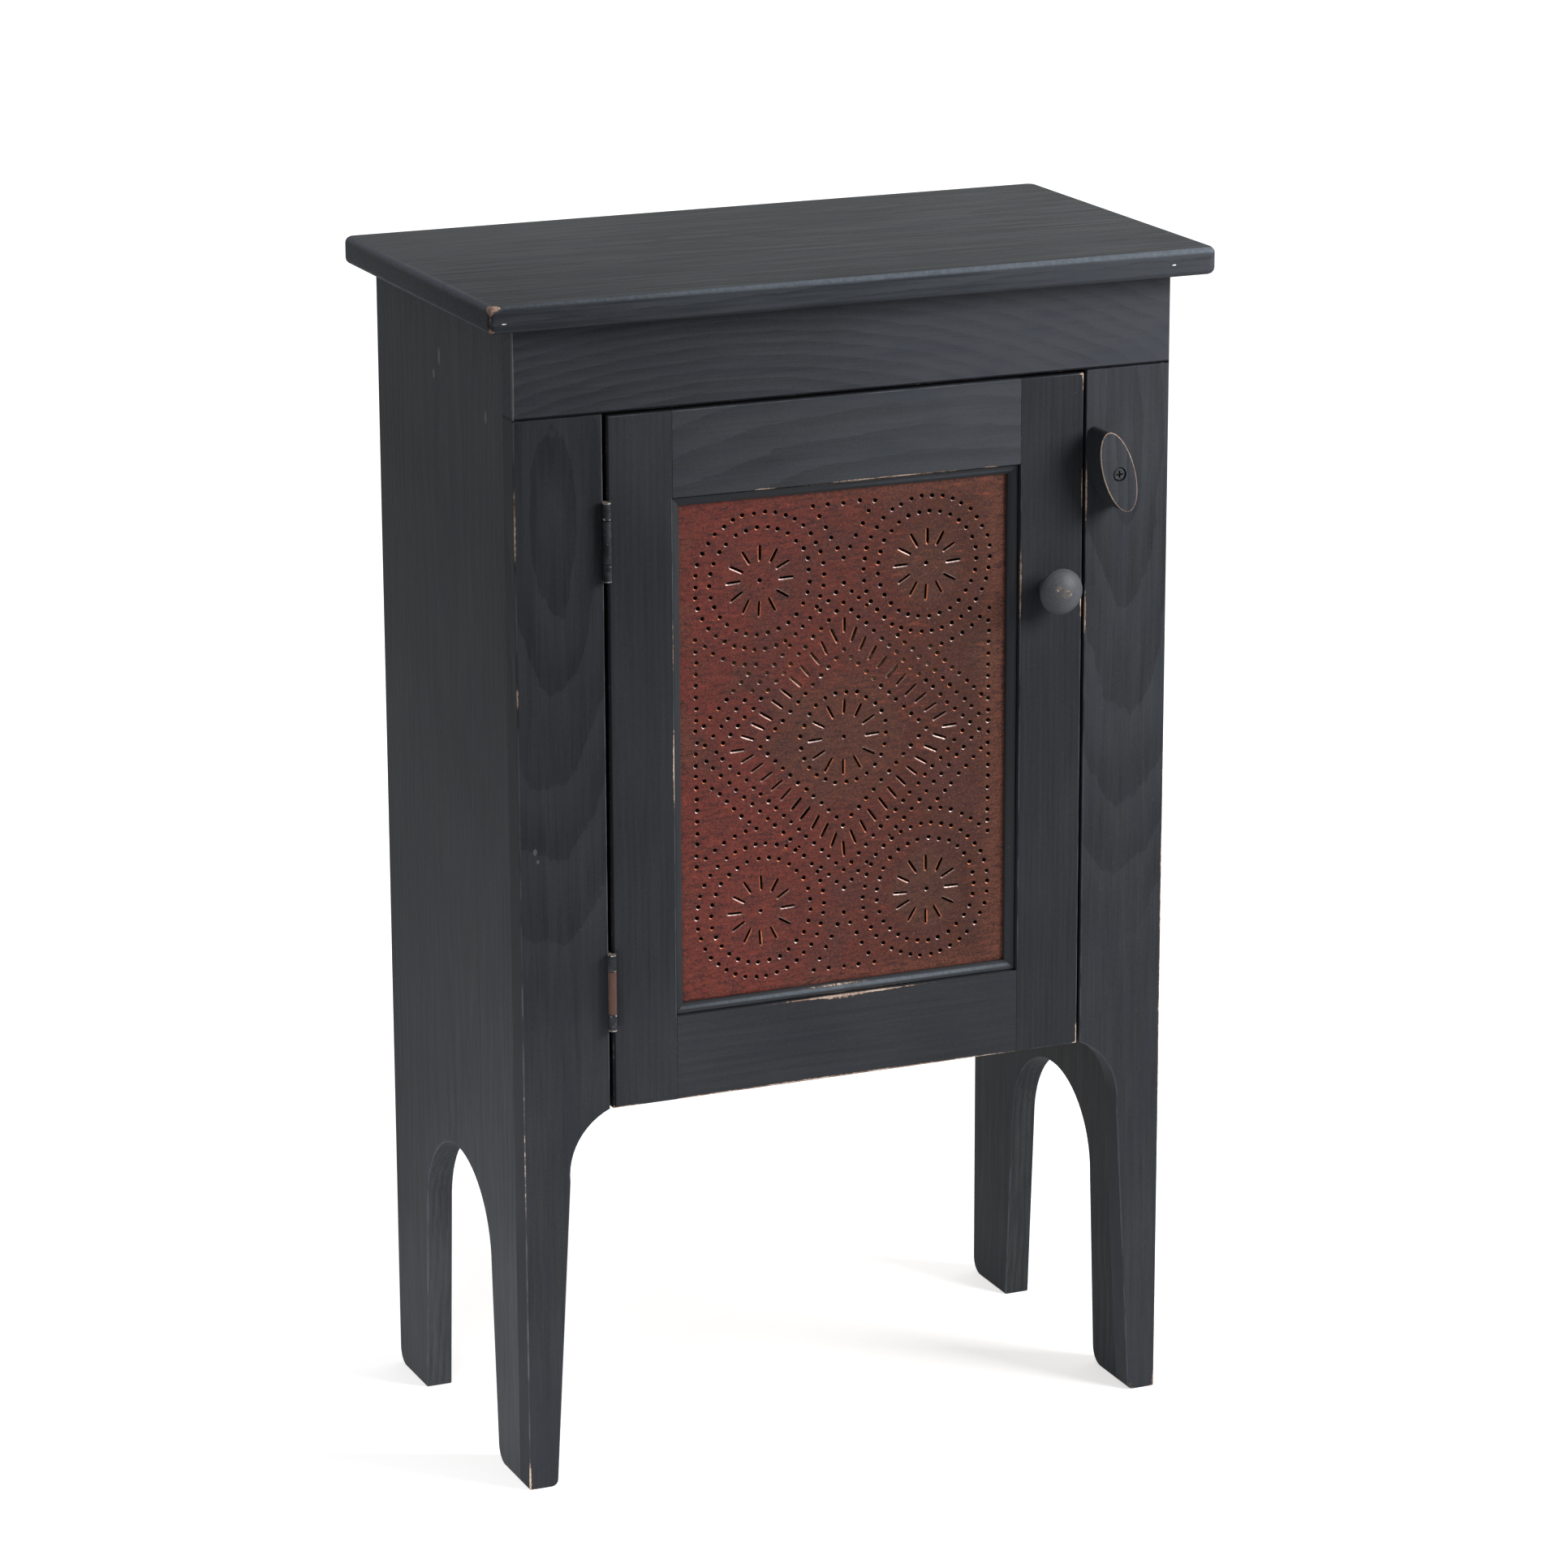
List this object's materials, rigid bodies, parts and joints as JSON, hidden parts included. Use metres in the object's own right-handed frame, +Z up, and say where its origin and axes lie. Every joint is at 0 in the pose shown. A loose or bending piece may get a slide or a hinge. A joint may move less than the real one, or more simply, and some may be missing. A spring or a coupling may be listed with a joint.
{
  "type": "pie safe",
  "caption": "Small standing cupboard on bracket legs with arched sides, and a side-hung door that holds a punched-tin panel, a mushroom knob and an oval turn button.",
  "frame": {"origin": "centre of the footprint, on the floor", "axes": "+Z up, the door faces -Y, +X to the right of someone facing the door"},
  "size_m": [0.53, 0.291, 0.835],
  "materials": {
    "painted_pine": "charcoal-black paint, satin, rubbed through to the wood at the arrises",
    "bare_pine": "unpainted, darkened with age",
    "red_tin": "rust-red glaze, browner to the right, bare and bright at the punches",
    "iron": "painted over with the door, chipped at the knuckles",
    "steel": "dulled"
  },
  "bodies": {
    "carcass": {"top_board": "painted_pine", "left_side": "painted_pine", "right_side": "painted_pine", "back_panel": "bare_pine", "case_bottom": "bare_pine", "inner_shelf": "bare_pine", "shelf_cleats": "bare_pine", "top_cleats": "bare_pine", "header_rail": "painted_pine", "door_stop": "bare_pine", "left_stile": "painted_pine", "right_stile": "painted_pine", "lower_frame_leaf": "iron", "upper_frame_leaf": "iron", "hinge_pins": "iron", "frame_leaf_screws": "steel", "turn_button_screw": "steel", "top_cleat_screws": "steel", "shelf_cleat_screws": "steel", "frame_nails": "steel", "back_nails": "steel", "frame_dowels": "bare_pine"},
    "door": {"door_hinge_stile": "painted_pine", "door_latch_stile": "painted_pine", "door_top_rail": "painted_pine", "door_bottom_rail": "painted_pine", "moulding_top": "painted_pine", "moulding_bottom": "painted_pine", "moulding_left": "painted_pine", "moulding_right": "painted_pine", "tin_panel": "red_tin", "retainer_top": "bare_pine", "retainer_bottom": "bare_pine", "retainer_left": "bare_pine", "retainer_right": "bare_pine", "retainer_brads": "steel", "lower_door_leaf": "iron", "upper_door_leaf": "iron", "door_leaf_screws": "steel", "door_knob": "painted_pine", "knob_screw": "steel"},
    "button": {"turn_button": "painted_pine"}
  },
  "joints": [
    {"name": "door_swing", "type": "hinge", "parent": "carcass", "child": "door", "pos_m": [-0.17675, -0.1237, 0.51], "axis": [0, 0, -1], "range_deg": [0, 175]},
    {"name": "button_turn", "type": "hinge", "parent": "carcass", "child": "button", "pos_m": [0.192, -0.1325, 0.683], "axis": [0, 1, 0], "continuous": true}
  ]
}
